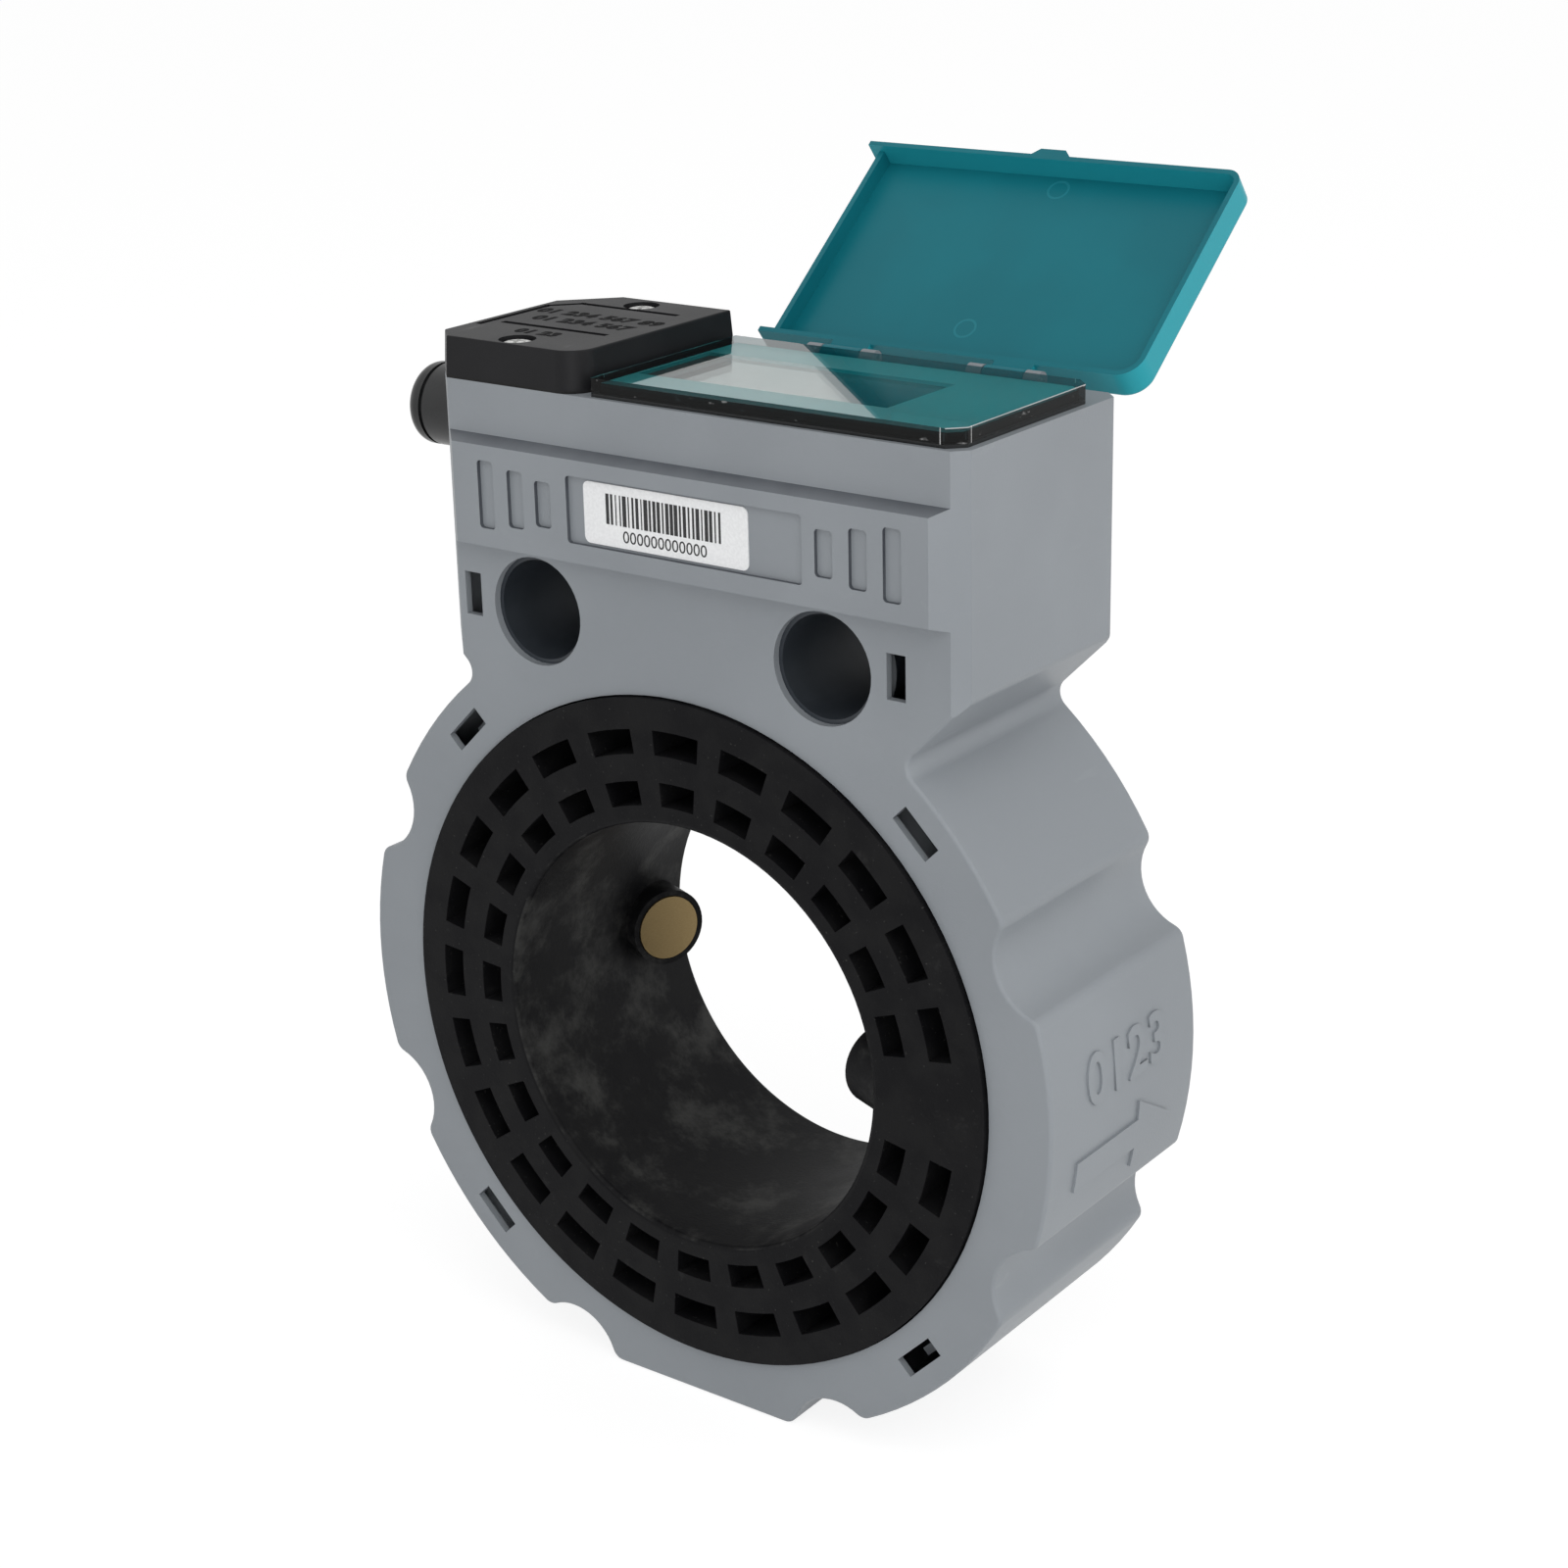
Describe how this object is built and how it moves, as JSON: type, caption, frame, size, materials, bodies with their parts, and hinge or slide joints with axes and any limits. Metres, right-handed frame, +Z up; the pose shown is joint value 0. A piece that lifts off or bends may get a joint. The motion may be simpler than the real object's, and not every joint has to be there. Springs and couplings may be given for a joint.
{
  "type": "digital flow meter",
  "caption": "Ultrasonic flow meter that is clamped between two pipe flanges, with a head for the display under a hinged lid, a terminal cover and a cable gland.",
  "frame": {"origin": "centre of the measuring tube's inlet face, on the pipe's axis", "axes": "+Y along the flow, +X to the right seen from the inlet, +Z up to the display"},
  "size_m": [0.1508, 0.0948, 0.2178],
  "materials": {
    "grey_shell": "fine satin moulded grey",
    "black_tube": "glass filled black, matt with a faint sheen",
    "sensor_black": "matt black",
    "seal_rubber": "matt black",
    "sensor_brass": "dull brushed",
    "case_black": "smooth black",
    "board": "solder mask green",
    "steel": "zinc plated",
    "panel_glass": "pale grey behind a gloss film",
    "teal_print": "gloss print",
    "clear_cover": "clear, gloss",
    "cell_wrap": "shrink film",
    "terminal_green": "moulded",
    "cover_black": "fine satin moulded black",
    "gland_black": "satin black",
    "paper": "satin paper label",
    "teal_lid": "satin to gloss moulded teal"
  },
  "bodies": {
    "body": {"front_shell": "grey_shell", "rear_shell": "grey_shell", "measuring_tube": "black_tube", "bolt_sleeve_left": "black_tube", "bolt_sleeve_right": "black_tube", "transducer_left": "sensor_black", "transducer_right": "sensor_black", "transducer_seal_left": "seal_rubber", "transducer_seal_right": "seal_rubber", "terminal_gasket": "seal_rubber", "gland_seal": "seal_rubber", "transducer_face_left": "sensor_brass", "transducer_face_right": "sensor_brass", "display_case": "case_black", "display_bezel": "case_black", "battery_cradle": "case_black", "main_board": "board", "board_screws": "steel", "cover_screws": "steel", "hinge_pins": "steel", "display_panel": "panel_glass", "display_overlay": "teal_print", "display_window": "clear_cover", "battery": "cell_wrap", "terminal_block": "terminal_green", "terminal_cover": "cover_black", "gland_body": "gland_black", "gland_nut": "gland_black", "gland_locknut": "gland_black", "label": "paper"},
    "lid": {"lid": "teal_lid"}
  },
  "joints": [
    {"name": "lid_hinge", "type": "hinge", "parent": "body", "child": "lid", "pos_m": [0.0175, 0.0508, 0.1136], "axis": [1, 0, 0], "range_deg": [0, 141.33]}
  ]
}
